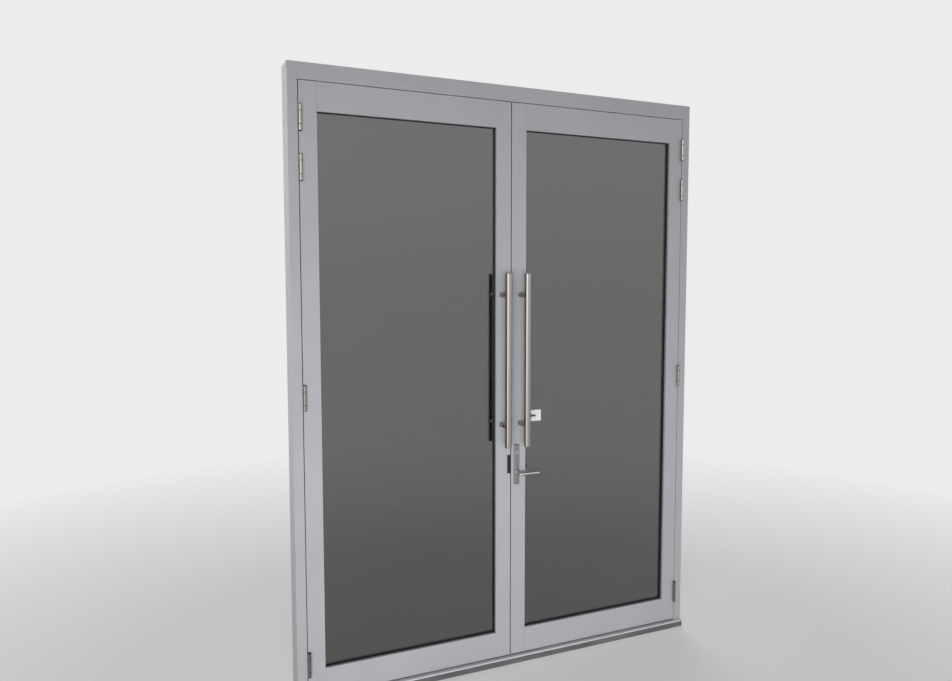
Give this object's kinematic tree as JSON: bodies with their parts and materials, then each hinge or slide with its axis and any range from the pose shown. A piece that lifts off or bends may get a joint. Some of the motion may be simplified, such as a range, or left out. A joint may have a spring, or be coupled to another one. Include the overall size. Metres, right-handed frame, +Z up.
{
  "type": "glass entrance door",
  "caption": "Double-leaf glazed entrance door with its aluminium frame, outward swing, pull bars, lever lock, electric strike and flush bolts.",
  "frame": {"origin": "on the floor at the meeting line of the leaves, halfway through the leaves' thickness", "axes": "+Z up, +X to the right seen from outside, +Y towards the inside"},
  "size_m": [1.868, 0.208, 2.507],
  "materials": {
    "frame_aluminium": "satin silver-grey anodised",
    "leaf_aluminium": "satin silver-grey anodised",
    "sill_riser": "dull dark grey",
    "seal_rubber": "matt black",
    "hinge_steel": "satin stainless steel",
    "lock_steel": "satin",
    "guide_plastic": "moulded",
    "lock_case_zinc": "zinc plated",
    "keeper_dark": "dark",
    "glass": "grey-tinted float glass",
    "pull_stainless": "brushed",
    "lever_satin": "satin",
    "cylinder_nickel": "satin nickel"
  },
  "bodies": {
    "frame": {"sub_sill": "sill_riser", "threshold_cover": "frame_aluminium", "bottom_bolt_socket": "lock_steel", "head": "frame_aluminium", "top_bolt_strike": "lock_steel", "frame_seal": "seal_rubber", "left_jamb": "frame_aluminium", "right_jamb": "frame_aluminium", "left_hinge_frame_leaves": "hinge_steel", "right_hinge_frame_leaves": "hinge_steel", "left_hinge_pins": "hinge_steel", "right_hinge_pins": "hinge_steel", "sill_end_caps": "guide_plastic"},
    "left_leaf": {"left_hinge_stile": "leaf_aluminium", "left_meeting_stile": "leaf_aluminium", "left_top_rail": "leaf_aluminium", "left_bottom_rail": "leaf_aluminium", "left_glass": "glass", "left_outer_gasket": "seal_rubber", "left_inner_gasket": "seal_rubber", "left_glazing_beads": "leaf_aluminium", "left_hinge_door_leaves": "hinge_steel", "left_outside_pull": "pull_stainless", "left_inside_pull": "pull_stainless", "left_pull_bolts": "lock_steel", "left_bottom_brush": "seal_rubber", "strike_body": "lock_case_zinc", "strike_plate": "lock_steel", "strike_pin": "lock_steel", "flush_bolt_plates": "lock_steel", "flush_bolt_guides": "guide_plastic"},
    "right_leaf": {"right_hinge_stile": "leaf_aluminium", "right_meeting_stile": "leaf_aluminium", "right_top_rail": "leaf_aluminium", "right_bottom_rail": "leaf_aluminium", "right_glass": "glass", "right_outer_gasket": "seal_rubber", "right_inner_gasket": "seal_rubber", "right_glazing_beads": "leaf_aluminium", "right_hinge_door_leaves": "hinge_steel", "right_outside_pull": "pull_stainless", "right_inside_pull": "pull_stainless", "right_pull_bolts": "lock_steel", "right_bottom_brush": "seal_rubber", "meeting_seal": "seal_rubber", "lock_case": "lock_case_zinc", "lock_forend": "lock_steel", "outside_lever_plate": "lever_satin", "inside_lever_plate": "lever_satin", "lever_plate_screws": "lock_steel", "cylinder_housing": "cylinder_nickel"},
    "lever": {"outside_lever": "lever_satin", "inside_lever": "lever_satin", "lever_spindle": "lock_steel", "lock_follower": "lock_steel"},
    "latch": {"latch_bolt": "lock_steel"},
    "key": {"key_plug": "cylinder_nickel"},
    "keeper": {"strike_keeper": "keeper_dark"},
    "top_bolt": {"top_flush_bolt": "lock_steel"},
    "bottom_bolt": {"bottom_flush_bolt": "lock_steel"}
  },
  "joints": [
    {"name": "left_leaf_swing", "type": "hinge", "parent": "frame", "child": "left_leaf", "pos_m": [-0.8885, -0.032, 0.04], "axis": [0, 0, -1], "range_deg": [0, 165]},
    {"name": "right_leaf_swing", "type": "hinge", "parent": "frame", "child": "right_leaf", "pos_m": [0.8885, -0.032, 0.04], "axis": [0, 0, 1], "range_deg": [0, 165]},
    {"name": "lever_turn", "type": "hinge", "parent": "right_leaf", "child": "lever", "pos_m": [0.026, 0, 0.857], "axis": [0, 1, 0], "range_deg": [0, 45], "stiffness_Nm_per_rad": 1, "springref_deg": -34.38},
    {"name": "latch_throw", "type": "slide", "parent": "right_leaf", "child": "latch", "axis": [-1, 0, 0], "range_m": [0, 0.012]},
    {"name": "key_turn", "type": "hinge", "parent": "right_leaf", "child": "key", "pos_m": [0.026, 0, 0.9455], "axis": [0, -1, 0], "range_deg": [-90, 90]},
    {"name": "keeper_release", "type": "hinge", "parent": "left_leaf", "child": "keeper", "pos_m": [-0.0135, -0.0165, 0.896], "axis": [0, 0, -1], "range_deg": [0, 75], "stiffness_Nm_per_rad": 0.05, "springref_deg": -17.19},
    {"name": "top_bolt_throw", "type": "slide", "parent": "left_leaf", "child": "top_bolt", "axis": [0, 0, 1], "range_m": [0, 0.018]},
    {"name": "bottom_bolt_throw", "type": "slide", "parent": "left_leaf", "child": "bottom_bolt", "axis": [0, 0, -1], "range_m": [0, 0.018]}
  ]
}
